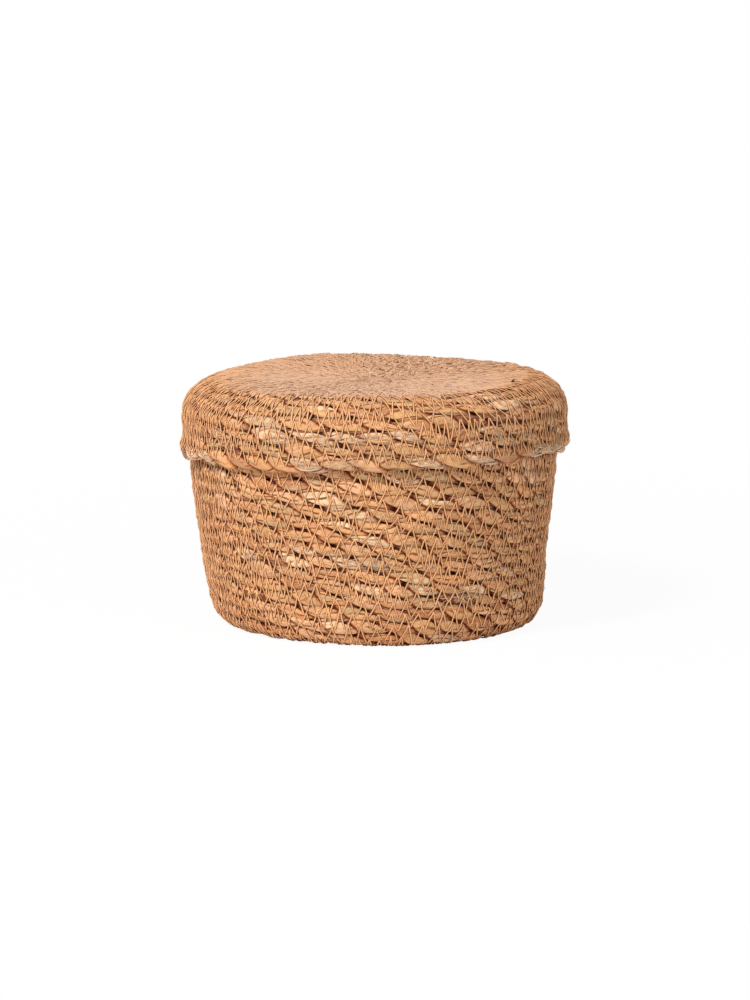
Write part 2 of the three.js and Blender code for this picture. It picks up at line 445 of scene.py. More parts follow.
# Meshes

# The corners of a face between two rings: how many rings and columns on from its first
FACE_CORNERS = [(0, 0), (0, 1), (1, 1), (1, 0)]


def tube_faces(rings, columns):
    """The ring and the column of each face of a tube."""
    return np.divmod(np.arange((rings - 1) * columns), columns)


def tube_quads(rings, columns, corners=FACE_CORNERS):
    ring, column = tube_faces(rings, columns)
    return np.stack([(ring + r) * columns + (column + c) % columns for r, c in corners], 1)


def make_mesh(name, points, quads, caps=()):
    """A smooth mesh from arrays of points and quads, with some many-sided caps."""
    corners = np.concatenate([quads.ravel()] + [np.asarray(cap) for cap in caps])
    sizes = np.concatenate([np.full(len(quads), 4), [len(cap) for cap in caps]]).astype(int)
    starts = np.concatenate([[0], np.cumsum(sizes)[:-1]])
    mesh = bpy.data.meshes.new(name)
    mesh.vertices.add(len(points))
    mesh.vertices.foreach_set("co", points.astype(np.float32).ravel())
    mesh.loops.add(len(corners))
    mesh.loops.foreach_set("vertex_index", corners.astype(np.int32))
    mesh.polygons.add(len(sizes))
    mesh.polygons.foreach_set("loop_start", starts.astype(np.int32))
    mesh.update(calc_edges=True)
    mesh.shade_smooth()
    return mesh


def set_attribute(mesh, name, domain, values):
    """An attribute of one number, or of a vector where the values have three columns."""
    vector = np.ndim(values) == 2
    attribute = mesh.attributes.new(name, "FLOAT_VECTOR" if vector else "FLOAT", domain)
    values = np.ascontiguousarray(values, dtype=np.float32).ravel()
    attribute.data.foreach_set("vector" if vector else "value", values)


def set_map(mesh, places):
    layer = mesh.uv_layers.new(name="OFBake")
    layer.data.foreach_set("uv", places.astype(np.float32).ravel())


def add_piece(mesh, material, body, nodes=()):
    piece = bpy.data.objects.new(mesh.name, mesh)
    bpy.context.scene.collection.objects.link(piece)
    mesh.materials.append(material)
    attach(piece, body)
    if nodes:
        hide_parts(*nodes)


def strip_map(mesh, rings, columns, caps):
    """A compact map: runs of rings lie as strips above each other in the square."""
    run = max(1, int(math.sqrt((rings - 1) * (columns + 2))))
    rows = math.ceil((rings - 1) / run)
    cell = np.array([1.0 / (run + 2), 1.0 / (rows * (columns + 2))])
    ring, column = tube_faces(rings, columns)
    low = np.stack([ring % run + 1, ring // run * (columns + 2) + column + 1], 1) * cell
    corners = np.stack([low + np.array(corner) * cell for corner in FACE_CORNERS], 1)
    ends = np.full((caps, 2), cell.min() / 2)
    set_map(mesh, np.concatenate([corners.reshape(-1, 2), ends]))


# Rope

COIL_START = 4.9 * MM
FINE_STEPS = 120000
COLUMNS = 26
ROPE_HALF_WIDTH = 4.22 * MM
SEAM_REACH = 3.78 * MM
ROPE_HALF_THICK = 2.62 * MM
ROPE_MEAN_RADIUS = 3.1 * MM
BASKET_LAY_LENGTH = 36 * MM
LID_LAY_LENGTH = 40 * MM
BRAID_LAY_LENGTH = 37 * MM
LAY_HOLD = 0.25
STRAND_ROUND, BRAID_ROUNDER = 0.22, 0.03
STRAND_SKEW = 0.05
BRAID_THICKER = 1.3
BRAID_START = (-1.2 * MM, 0.4 * MM)
TOP_END = 2 * MM
# Half of a crease's width in degrees, and how much more it is at the rope's sides
CREASE_WIDTH, CREASE_SIDE_WIDENING = 13, 10
# How much deeper the creases are at the rope's sides, and how much darker their painted shade is
# there
CREASE_SIDE_DEEPENING, CREASE_SIDE_DARKENING = 0.3, 0.5
# How much of the creases' depth and painted shade is gone on the lid's top and in the last row
TOP_FILL, BRAID_FILL = 0.35, 0.38
TOP_PALING, BRAID_PALING = 0.4, 0.4
SIDE_FILL, SIDE_POWER = 0.5, 4
SQUARENESS = 0.78
# Painted shade at the rows' sides: how fast it grows towards them, its least share away from the
# creases, and how much of it the last row's free side loses
GROOVE_POWER, GROOVE_LEAST = 2.2, 0.6
FREE_SIDE_SHARE = 0.8
SEAM_MIDDLE = (0.955, 0.99)
ROPE_START_TAPER = (-9 * MM, 3 * MM)
ROPE_END_TAPER = (0.0, 5 * MM)
TAPER_LEAST = 0.12
# How much each measure of a rope varies, over which length in mm, and its seed
VARIES = {
    "lay": (0.25, 60, 0),
    "crease": (0.08, 9, 1),
    "width": (0.045, 26, 2),
    "thickness": (0.07, 29, 3),
    "offset": (0.4 * MM, 22, 4),
    "strand_0": (0.08, 17, 40),
    "strand_1": (0.08, 17, 41),
    "leaf": (0.5, 50, 60),
}
# Folds in the leaves: depth, radians round the rope, step to the next lobe, mm along, seed
FOLDS = [(0.04, 0.55, 7.37, 14, 7), (0.018, 0.3, 3.1, 7, 8)]
# Places across a row at which the height of the rope's surface is kept
GRID = np.linspace(-4.3, 4.3, 29) * MM
GRID_LAST = len(GRID) - 1.001


class Rope:
    """A shell's rope as rings of points, each in its own row at its own angle."""

    def __init__(self, shell, seed, spacing, lay, braid_swell, crease_depth, leaf_seed, marks):
        self.shell = shell
        self.seed = seed
        fine = np.linspace(-COIL_START, shell.end, FINE_STEPS)
        radius = shell.radius(fine) + np.minimum(fine, 0)
        run = np.hypot(TURN * radius / PITCH, 1.0)
        length = np.concatenate([[0], np.cumsum((run[1:] + run[:-1]) / 2 * np.diff(fine))])
        self.run = np.linspace(0, length[-1], int(length[-1] / spacing))
        self.along = np.interp(self.run, length, fine)
        self.angle = shell.angle(self.along)
        self.strand = (np.arange(COLUMNS) >= COLUMNS // 2).astype(int)
        self.wind(lay, braid_swell, crease_depth)
        self.leaf = np.random.default_rng(leaf_seed).random((LEAF_TABLE, 2))
        self.mark(marks)

    def varied(self, measure):
        amount, spacing, seed = VARIES[measure]
        return amount * smooth_noise(self.run, spacing * MM, self.seed + seed)

    def lobe_middles(self):
        """The ring and number of each lobe, where a strand's back faces outwards."""
        rings, lobes = [], []
        for strand in (0, 1):
            lean = TURN / 4 + strand * TURN / 2
            level = (lean + self.shell.twist * self.turned - TURN / 8) / TURN
            crossing = np.flatnonzero(np.diff(np.floor(level)) != 0)
            rings.append(crossing)
            lobes.append(np.round(level[crossing]).astype(int) * 2 + strand)
        return np.concatenate(rings), np.concatenate(lobes)

    def mark(self, marks):
        """Give the lobes nearest to the marks their leaf."""
        rings, lobes = self.lobe_middles()
        seen, hidden = front_view(self.shell, self.angle[rings], self.along[rings])
        # In the photograph's view, only the marked leaves are pale
        for lobe in lobes[hidden == 0] % LEAF_TABLE:
            if leaf_starts[CREAM] < self.leaf[lobe, 0] < leaf_starts[RED_BROWN]:
                self.leaf[lobe, 0] = 0
        for kind, places in marks.items():
            for right, high in places:
                aside = (seen[:, 0] - right) * MARK_ROW_SHARE
                far = np.hypot(aside, seen[:, 1] - high) + hidden
                lobe = lobes[np.argmin(far)] % LEAF_TABLE
                self.leaf[lobe, 0] = leaf_starts[kind] + leaf_shares[kind] / 2

    def turn_of(self, ring, column):
        """The angle round the rope's middle of a column's point, 0 towards the next row."""
        return column * (TURN / COLUMNS) + self.shell.twist * self.turned[ring] + TURN / 8

    def passage(self, turn, ring):
        """The number of a strand's passage over the outside or the inside."""
        return np.floor((turn + TURN / 4 + self.jitter[ring]) / TURN)

    def wind(self, lay, braid_swell, crease_depth):
        """Set the rings' points, across and up from the row's middle, and their shades."""
        run, along, shell = self.run, self.along, self.shell
        ring = np.arange(len(run))[:, None]
        braid_starts, braid_full = BRAID_START
        braid = smooth_step(along, shell.braid_cut + braid_starts, shell.braid_cut + braid_full)
        # Stubble fills the creases on the lid's top
        top = 1 - smooth_step(along, shell.flat_length - PITCH, shell.flat_length + TOP_END)
        top = top * (shell.outside > 0)
        lay = lay * (1 - braid) + BRAID_LAY_LENGTH * braid
        lay = lay * (1 + self.varied("lay"))
        phase = np.cumsum(TURN / lay * np.gradient(run))
        self.turned = phase - LAY_HOLD / 2 * np.sin(2 * phase) - shell.twist * TURN / 8
        lean = np.arange(COLUMNS) * (TURN / COLUMNS)
        swing = np.where(lean < TURN / 2, lean - TURN / 4, lean - 3 * TURN / 4)
        turn = self.turn_of(ring, np.arange(COLUMNS)[None])
        across, up = np.cos(turn), np.sin(turn)
        side = across ** SIDE_POWER
        # The strands' round backs meet in two creases, which neighbouring rows fill at the sides
        roundness = (STRAND_ROUND + BRAID_ROUNDER * braid)[:, None]
        size = roundness * np.cos(swing) + np.sqrt(
            (1 - roundness) ** 2 - (roundness * np.sin(swing)) ** 2
        )
        shape = size + (1.0 - size) * SIDE_FILL * side + STRAND_SKEW * swing / (TURN / 4)
        width = np.radians(CREASE_WIDTH + CREASE_SIDE_WIDENING * across ** 2)
        crease = bell(np.abs(swing), TURN / 4, width)
        depth = crease_depth + self.varied("crease")
        depth = depth * (1 - TOP_FILL * top - BRAID_FILL * braid)
        shape = shape - crease * depth[:, None] * (1 + CREASE_SIDE_DEEPENING * (side - 0.5))
        for strand in (0, 1):
            shape[:, self.strand == strand] += self.varied(f"strand_{strand}")[:, None]
        # Leaves lie along the rope, so their folds keep their place round it
        self.jitter = self.varied("leaf")
        lobe = self.passage(turn, ring) * 2 + self.strand
        for deep, round_rope, step, spacing, seed in FOLDS:
            place = run[:, None] / (spacing * MM) + lobe
            fold = smooth_noise_2d(turn / round_rope + lobe * step, place, self.seed + seed)
            shape = shape + deep * fold
        # The creases' painted shade, darker at the rope's sides and fainter on the lid's top and
        # in the last row
        self.crease = np.clip(crease * (1 + CREASE_SIDE_DARKENING * (side - 0.5)), 0, 1)
        self.crease = self.crease * (1 - TOP_PALING * top - BRAID_PALING * braid)[:, None]
        # The rows' sides get painted shade where each meets the next row; the last row's outer
        # side is free, so the shade is taken off there
        groove = np.abs(across) ** GROOVE_POWER * (GROOVE_LEAST + (1 - GROOVE_LEAST) * crease)
        self.groove = groove * (1 - FREE_SIDE_SHARE * braid[:, None] * (across > 0))
        small = smooth_step(run, *ROPE_START_TAPER) * smooth_step(run[-1] - run, *ROPE_END_TAPER)
        small = TAPER_LEAST + (1 - TAPER_LEAST) * small
        wide = ROPE_HALF_WIDTH * (1 + self.varied("width")) * (1 + braid_swell * braid)
        thick = ROPE_HALF_THICK * (1 + self.varied("thickness"))
        thick = thick * (1 + braid_swell * BRAID_THICKER * braid)
        # In the middle of a seam the rows always touch, so no light comes through
        seam = np.sign(across) * smooth_step(np.abs(across), *SEAM_MIDDLE)
        across = np.sign(across) * np.abs(across) ** SQUARENESS
        up = np.sign(up) * np.abs(up) ** SQUARENESS
        self.across = (wide * small)[:, None] * shape * across + self.varied("offset")[:, None]
        short = np.maximum(SEAM_REACH * small[:, None] - np.abs(self.across), 0)
        self.across = self.across + seam * short
        self.up = (thick * small)[:, None] * shape * up
        self.outer = self.surface(self.up >= 0)
        self.inner = self.surface(self.up <= 0)

    def surface(self, chosen):
        """The rope's height over its width, ring by ring, by its outer or its inner points."""
        table = np.zeros((len(self.run), len(GRID)))
        for ring, points in enumerate(chosen):
            across, up = self.across[ring, points], self.up[ring, points]
            order = np.argsort(across)
            table[ring] = np.interp(GRID, across[order], up[order], left=0.0, right=0.0)
        return table

    def height(self, angle, along, inner):
        """The rope's surface height at an angle and a place along the line."""
        middle = self.shell.row_middle(angle, along)
        ring = np.searchsorted(self.along, np.clip(middle, self.along[0], self.shell.end))
        ring = np.clip(ring, 0, len(self.along) - 1)
        column = np.clip((along - middle - GRID[0]) / (GRID[1] - GRID[0]), 0, GRID_LAST)
        low = column.astype(int)
        part = column - low
        table = self.inner if inner else self.outer
        found = table[ring, low] * (1 - part) + table[ring, low + 1] * part
        gone = (middle > self.shell.end) | (middle < self.along[0])
        return np.where(gone, 0.0, found)


CAP_VALUES = (0.5, 0.5)


def add_rope(name, rope, first, last, material, body, nodes):
    """One stretch of the rope, from a ring to another, as a closed piece."""
    rows = slice(first, last + 1)
    rings = last - first + 1
    angle = np.repeat(rope.angle[rows, None], COLUMNS, 1)
    points = rope.shell.place(angle, rope.along[rows, None] + rope.across[rows], rope.up[rows])
    points[..., 2] = np.maximum(points[..., 2], 0.0)
    end = (rings - 1) * COLUMNS
    caps = [range(COLUMNS), range(end + COLUMNS - 1, end - 1, -1)]
    corners = FACE_CORNERS
    # The basket's outside is on the row line's other side, which would turn its faces inwards
    if rope.shell.outside < 0:
        caps = [cap[::-1] for cap in caps]
        corners = corners[::-1]
    mesh = make_mesh(name, points.reshape(-1, 3), tube_quads(rings, COLUMNS, corners), caps)
    # Each face belongs to a lobe: one strand's passage over the outside or the inside
    ring, column = tube_faces(rings, COLUMNS)
    ring = first + ring
    passage = rope.passage(rope.turn_of(ring, column + 0.5), ring)
    lobe = (passage * 2 + rope.strand[column]).astype(int)
    leaf, tone = rope.leaf[lobe % LEAF_TABLE].T
    for look, values in (("lobe", lobe % LEAF_TABLE), ("leaf", leaf), ("leaf_tone", tone)):
        set_attribute(mesh, look, "FACE", np.append(values, CAP_VALUES))
    set_attribute(mesh, "crease", "POINT", rope.crease[rows].ravel())
    set_attribute(mesh, "groove", "POINT", rope.groove[rows].ravel())
    grain = []
    for r, c in corners:
        around = (rope.turn_of(ring + r, column + c) - TURN * passage) * ROPE_MEAN_RADIUS
        grain.append(np.stack([around, rope.run[ring + r], lobe], 1))
    grain = np.stack(grain, 1).reshape(-1, 3)
    ends = 2 * COLUMNS
    set_attribute(mesh, "grain_place", "CORNER", np.concatenate([grain, np.zeros((ends, 3))]))
    strip_map(mesh, rings, COLUMNS, ends)
    add_piece(mesh, material, body, nodes)


# Thin tubes, of which the thread and the fibres are made

# The least radius round the axis at which an angle still stands for a length
LEAST_RADIUS = 4 * MM
MAP_MARGIN, MAP_SHARE = 0.06, 0.88


def taut(level, surface):
    """A line's levels, smoothed, and never below the surface under it."""
    middle = level.copy()
    middle[:, 1:-1] = (level[:, :-2] + 2 * level[:, 1:-1] + level[:, 2:]) / 4
    return np.maximum(middle, surface)


def tubes_along(shell, angle, along, level, side, profile, size):
    """Tubes along lines on a shell's outside, side 1, or its inside, side -1."""
    line = shell.place(angle, along, side * level)
    up = unit(shell.place(angle, along, side * (level + MM)) - line)
    forward = unit(np.gradient(line, axis=1))
    across = unit(np.cross(forward, up))
    up = np.cross(across, forward)
    ring = across[:, :, None] * profile[:, :1] + up[:, :, None] * profile[:, 1:2]
    tubes = line[:, :, None] + ring * size
    tubes[..., 2] = np.maximum(tubes[..., 2], 0.0)
    return tubes


def add_tubes(name, tubes, tone, material, body, profile=None):
    """Many small tubes of the same count of rings and sides as one piece."""
    count, rings, sides = tubes.shape[:3]
    one = tube_quads(rings, sides)
    quads = (one[None] + np.arange(count)[:, None, None] * rings * sides).reshape(-1, 4)
    mesh = make_mesh(name, tubes.reshape(-1, 3), quads)
    set_attribute(mesh, "tone", "FACE", np.repeat(tone, len(one)))
    if profile is not None:
        set_attribute(mesh, "bare", "POINT", np.tile(profile[:, 2], count * rings))
    run = np.linspace(0, 1, rings)
    ring, column = tube_faces(rings, sides)
    grain = [np.stack([(column + c) / sides, run[ring + r]], 1) for r, c in FACE_CORNERS]
    grain = np.stack(grain, 1)
    # In the map, each tube has its own small square
    table = math.ceil(math.sqrt(count))
    index = np.arange(count)
    corner = np.stack([index % table, index // table], 1)[:, None, None]
    set_map(mesh, (corner + MAP_MARGIN + MAP_SHARE * grain[None]) / table)
    number = np.repeat(np.arange(count, dtype=float), len(one) * 4)
    place = np.tile(grain.reshape(-1, 2), (count, 1))
    set_attribute(mesh, "grain_place", "CORNER", np.column_stack([place, number]))
    add_piece(mesh, material, body)


# Sewing thread

BASKET_STITCH, LID_STITCH = 3.8 * MM, 3.7 * MM
THREAD_RADIUS = 0.38 * MM
# Across and up from the thread's middle in mm, and 1 on the thread, 0 on the skirt beside it, a
# dark sheet that stands in for its shadow on the leaf
OUTER_PROFILE = np.array([
    (0.54, -0.06, 0), (0.32, 0.19, 0.8), (0, 0.36, 1), (-0.32, 0.19, 0.8), (-0.54, -0.06, 0),
    (-0.3, -0.4, 0), (0.3, -0.4, 0),
])
INNER_PROFILE = np.array([(0.36, 0, 1), (0, 0.36, 1), (-0.36, 0, 1), (0, -0.36, 1)])
OUTER_POINTS, INNER_POINTS = 9, 7
# The middle and the width of the lid's shoulder past its flat top, in rows
SHOULDER_MIDDLE, SHOULDER_SPREAD = 0.6, 2.2
# How the stitches crowd: share, over which length in mm, seed
STITCH_CROWDS = [(0.12, 90, 9), (0.24, 500, 10)]
# They are closer on the left: by which share, from which cosine to which, turned by how much
LEFT_CLOSER, LEFT_CLOSER_RANGE, LEFT_TURN = 0.33, (0.1, 0.9), 0.5
STITCH_SLANT, SHOULDER_SLANT = 0.18, 0.26
STITCH_VARIES = 0.15
STITCH_RANGE = (1.6 * MM, 8.0 * MM)
BUNCH_STEP = (1.5, 2.9)
BUNCH_CHANCE, BUNCH_COUNT = 0.025, (5, 18)
# Where a seam starts, how far the stitches reach and vary, and their limits, in rows
SEAM_START = 0.55
STITCH_REACH = (0.67, 0.05)
STITCH_REACH_RANGE = (0.5, 0.85)
STITCH_STRAYS = 0.35 * MM
STITCH_GATHERS = 0.06
STITCH_BOW = 0.2 * MM
STITCH_SPREAD = (0.02, 0.2)
STITCH_SOFTNESS = (0.15, 0.2)
LEAST_LEVEL = 1.9 * MM
THREAD_LIFT_SHARE = 0.6
NEEDLE_DEPTH, NEAR_NEEDLE_DEPTH = 1.1 * MM, 0.12 * MM
THREAD_VARIES = 0.1
THREAD_TONES = (0.88, 1.08)


def over_shoulder(shell, along):
    """1 where the lid turns from its top to its side, 0 away from there."""
    if shell.outside < 0:
        return np.zeros_like(along)
    middle = shell.flat_length + SHOULDER_MIDDLE * PITCH
    return bell(along, middle, SHOULDER_SPREAD * PITCH)


def seam_steps(rope, mean_step, seed):
    """Where the needle goes in along a seam: even zigzags, with closer bunches."""
    rng = np.random.default_rng(seed)
    length = rope.run[-1]
    last = len(rope.run) - 1
    crowd = 1 + sum(
        share * smooth_noise(rope.run, spacing * MM, seed + own)
        for share, spacing, own in STITCH_CROWDS
    )
    closer = smooth_step(-np.cos(rope.angle + LEFT_TURN), *LEFT_CLOSER_RANGE)
    closer = 1 - LEFT_CLOSER * closer
    slant = STITCH_SLANT + SHOULDER_SLANT * over_shoulder(rope.shell, rope.along)
    places = [0.0]
    bunch = 0
    back = False
    while places[-1] < length:
        ring = min(int(places[-1] / length * last), last)
        if bunch > 0:
            step = rng.uniform(*BUNCH_STEP) * MM
            bunch -= 1
        else:
            # The needle swings over in a short step and back in a long one
            lean = 1 + slant[ring] if back else 1 - slant[ring]
            step = rng.normal(mean_step * lean, STITCH_VARIES * mean_step) * closer[ring]
            step = min(max(step * crowd[ring], STITCH_RANGE[0]), STITCH_RANGE[1])
            if rng.random() < BUNCH_CHANCE:
                bunch = int(rng.integers(*BUNCH_COUNT))
        back = not back
        places.append(places[-1] + step)
    return np.array(places)


def zigzag(rope, mean_step, seed, inner):
    """The tubes, tones and places of the stitches that sew each row to the next."""
    shell = rope.shell
    rng = np.random.default_rng(seed)
    steps = seam_steps(rope, mean_step, seed + 1)
    # The seam's middle lies half a row further out than the rope that it follows
    along = np.interp(steps, rope.run, rope.along)
    keep = (along > SEAM_START * PITCH) & (along < shell.end - PITCH)
    along = along[keep]
    swing = np.where(np.flatnonzero(keep) % 2 == 0, -1.0, 1.0)
    reach = np.clip(rng.normal(*STITCH_REACH, len(along)), *STITCH_REACH_RANGE) * PITCH
    spot = along + PITCH / 2 + swing * reach + rng.normal(0, STITCH_STRAYS, len(along))
    needle = shell.angle(along)
    a0, a1 = needle[:-1, None], needle[1:, None]
    s0, s1 = spot[:-1, None], spot[1:, None]
    each = (len(a0), 1)
    share = np.linspace(0, 1, INNER_POINTS if inner else OUTER_POINTS)
    share = share - STITCH_GATHERS * np.sin(TURN * share)
    bow = rng.normal(0, STITCH_BOW, each) / np.maximum(shell.radius(s0), LEAST_RADIUS)
    # Both legs of a stitch bow away from each other under their upper end
    falls = swing[:-1, None] * shell.outside
    spread = falls * rng.uniform(*STITCH_SPREAD, each)
    angle = a0 + (a1 - a0) * share
    angle = angle + ((a1 - a0) * spread + bow) * np.sin(math.pi * share)
    # Some stitches turn in a round bend at their upper end, most of all on the lid's shoulder
    bent = np.where(falls < 0, 1 - np.cos(TURN / 4 * share), np.sin(TURN / 4 * share))
    soft = rng.normal(*STITCH_SOFTNESS, each) + over_shoulder(shell, s0)
    soft = np.clip(soft, 0, 1)
    along = s0 + (s1 - s0) * (share * (1 - soft) + bent * soft)
    side = -1.0 if inner else 1.0
    surface = rope.height(angle, along, inner) * side
    level = taut(taut(np.maximum(surface, LEAST_LEVEL), surface), surface)
    level = level + THREAD_RADIUS * THREAD_LIFT_SHARE
    level[:, [0, -1]] -= NEEDLE_DEPTH
    level[:, [1, -2]] -= NEAR_NEEDLE_DEPTH
    thick = MM * rng.normal(1, THREAD_VARIES, (len(a0), 1, 1, 1))
    profile = INNER_PROFILE if inner else OUTER_PROFILE
    tubes = tubes_along(shell, angle, along, level, side, profile, thick)
    return tubes, rng.uniform(*THREAD_TONES, len(a0)), (s0 + s1)[:, 0] / 2


# Loose fibres

ROUND = np.array([(math.cos(turn), math.sin(turn)) for turn in (0, TURN / 3, 2 * TURN / 3)])
FREE_END_POWER = 1.5
FIBRE_LIFT_SHARE = 0.5
ROOT_DEPTH = 0.4 * MM
FIBRE_TAPER = 0.6


def fibre_tubes(rope, run, aside, heading, length, curl, lift, radius, free, points):
    """Thin curved tubes on a rope, in rows' directions: heading 0 lies along the row."""
    shell = rope.shell
    middle = np.interp(run, rope.run, rope.along)
    along = middle + aside
    share = np.linspace(0, 1, points)[None]
    way = heading[:, None] + curl[:, None] * (share - 0.5)
    step = length[:, None] / (points - 1)
    ahead = np.cumsum(np.cos(way) * step, 1) - np.cos(way) * step
    aside = np.cumsum(np.sin(way) * step, 1) - np.sin(way) * step
    around = np.maximum(shell.radius(along), LEAST_RADIUS)
    angle = shell.angle(middle)[:, None] + ahead / around[:, None]
    along = np.minimum(along[:, None] + aside, shell.edge(angle))
    surface = rope.height(angle, along, False)
    rise = np.where(free[:, None], share ** FREE_END_POWER, np.sin(math.pi * share))
    level = taut(surface, surface) + lift[:, None] * rise + radius[:, None] * FIBRE_LIFT_SHARE
    level[:, 0] -= ROOT_DEPTH
    size = (radius[:, None] * (1 - FIBRE_TAPER * share ** 2))[:, :, None, None]
    return tubes_along(shell, angle, along, level, 1.0, ROUND, size)


# Kinds of fibres, with lengths in mm and their places across in rows
HAIR = {
    "across": 0.5, "heading": 0.7, "length": (3, 8), "curl": 1.2, "lift": 0.35, "tallest": 2.2,
    "thick": (0.05, 0.1), "free": 0.3, "points": 6,
}
FLUFF = {**HAIR, "heading": 1.0, "lift": 0.3, "tallest": 1.2, "thick": (0.04, 0.07), "points": 4}
STRIP = {
    "across": 0.36, "heading": 0.2, "length": (4, 11), "curl": 0.5, "lift": 0.25, "tallest": 1.5,
    "thick": (0.1, 0.3), "free": 0.25, "points": 6,
}
HAIR_TONES, DARK_HAIR_TONES, FLUFF_TONES = (0.5, 0.95), (0.0, 0.2), (0.0, 1.0)
STRIPS_EACH, STRIP_SPREAD, STRIP_LEAN, STRIP_TONES = 9, 3.2 * MM, 0.12, (0.6, 1.0)


def fibres_at(rope, run, rng, kind, tones, lean=0.0):
    """The tubes and tones of a kind of fibres at places along the rope."""
    count = len(run)
    across = kind["across"]
    tubes = fibre_tubes(
        rope, run, rng.uniform(-across, across, count) * PITCH,
        rng.normal(lean, kind["heading"], count), rng.uniform(*kind["length"], count) * MM,
        rng.normal(0, kind["curl"], count),
        rng.exponential(kind["lift"], count).clip(0, kind["tallest"]) * MM,
        rng.uniform(*kind["thick"], count) * MM, rng.random(count) < kind["free"],
        kind["points"],
    )
    return tubes, rng.uniform(*tones, count)


def scattered_fibres(rope, count, seed, tones, kind=HAIR, first=None, last=None):
    """Fibres anywhere between two places along the row line, or on all the wall."""
    rng = np.random.default_rng(seed)
    first = rope.shell.flat_cut if first is None else first
    last = rope.shell.end if last is None else last
    run = rng.uniform(*np.interp([first, last], rope.along, rope.run), count)
    return fibres_at(rope, run, rng, kind, tones)


def torn_strips(rope, seed):
    """Torn strips on the lobes whose leaf is shredded."""
    rng = np.random.default_rng(seed)
    rings, lobes = rope.lobe_middles()
    leaf = rope.leaf[lobes % LEAF_TABLE, 0]
    torn = (leaf > leaf_starts[SHREDDED]) & (leaf < leaf_starts[SHREDDED + 1])
    ring = np.repeat(rings[torn], STRIPS_EACH)
    run = rope.run[ring] + rng.normal(0, STRIP_SPREAD, len(ring))
    return fibres_at(rope, run, rng, STRIP, STRIP_TONES, STRIP_LEAN * rope.shell.twist)


# Frayed places seen in the photograph: right of the middle, height over the aim, width and
# height in mm, count of fibres, heading and its spread in degrees, greatest length, lift and
# thickness in mm, tones

BASKET_TUFTS = [
    (-87, 3, 5, 9, 34, 80, 25, 8, 0.8, 0.25, 0.8, 1.0),
    (1, -33, 10, 7, 46, 60, 60, 7, 1.2, 0.22, 0.3, 1.0),
    (49, -53, 9, 5, 34, 20, 25, 9, 1.2, 0.25, 0.6, 0.85),
    (102, 13, 4, 6, 8, 45, 80, 6, 2.5, 0.12, 0.6, 0.9),
    (103, 14, 2, 2, 3, 80, 20, 5, 3.2, 0.13, 0.6, 0.9),
    (-103, 14, 4, 6, 6, 45, 80, 6, 2.2, 0.12, 0.6, 0.9),
]
LID_TUFTS = [
    (-20, 20, 9, 3, 60, 40, 60, 5, 0.6, 0.18, 0.75, 1.0),
    (-105, 27, 4, 2, 40, 30, 7, 13, 0.3, 0.32, 0.75, 1.0),
    (-99, 26, 3, 1.5, 20, 14, 6, 10, 0.3, 0.3, 0.75, 1.0),
    (88, 23, 1, 0.8, 10, -4, 3, 24, 0.2, 0.5, 0.8, 1.0),
    (98, 23, 1, 1, 16, -60, 6, 13, 0.4, 0.5, 0.8, 1.0),
    (101, 27, 1, 1.2, 18, -26, 5, 18, 0.3, 0.5, 0.8, 1.0),
    (75.5, 66, 0.5, 0.4, 10, 86, 2, 9, 2.5, 0.45, 0.0, 0.02),
    (11, 82, 2, 1, 8, 0, 15, 4, 0.2, 0.4, 0.9, 1.0),
    (24, 81, 2, 1, 8, 0, 15, 4, 0.2, 0.4, 0.9, 1.0),
    (33, 79, 2, 1, 14, 0, 15, 5, 0.9, 0.5, 0.9, 1.0),
    (50, 77, 2, 1, 12, 0, 15, 4, 0.9, 0.5, 0.9, 1.0),
    (-1, 71, 3, 1, 16, 0, 25, 5, 0.8, 0.5, 0.9, 1.0),
    (-3, 64, 3, 1, 10, 0, 40, 5, 0.6, 0.45, 0.9, 1.0),
    (-8, 53, 6, 4, 20, 20, 60, 6, 0.8, 0.2, 0.8, 1.0),
]
BASKET_SIDE_FLUFF = [
    (-91, 4, 60, 30, 1300, 78, 22, 7, 0.25, 0.1, 0.3, 1.0),
    (-86, -22, 60, 30, 1300, 78, 22, 7, 0.25, 0.1, 0.3, 1.0),
    (-82, -46, 60, 30, 1000, 78, 22, 7, 0.25, 0.1, 0.3, 1.0),
    (91, -10, 60, 60, 900, 78, 22, 7, 0.25, 0.09, 0.1, 1.0),
]
LID_SHOULDER_FLUFF = [
    (-102, 42, 60, 16, 1500, 75, 25, 6, 0.3, 0.08, 0.2, 1.0),
    (-96, 56, 60, 14, 2200, 75, 25, 6, 0.3, 0.08, 0.2, 1.0),
    (102, 42, 50, 16, 500, 75, 25, 6, 0.3, 0.07, 0.0, 1.0),
    (98, 58, 60, 14, 700, 75, 25, 6, 0.3, 0.07, 0.0, 1.0),
]
# Where on a row a frayed place may lie, in rows off its middle
TUFT_OFFSETS = (-0.4, -0.2, 0.0, 0.2, 0.4)
TUFT_CURL, TUFT_FREE, TUFT_LEAST_SHARE = 0.9, 0.6, 0.4


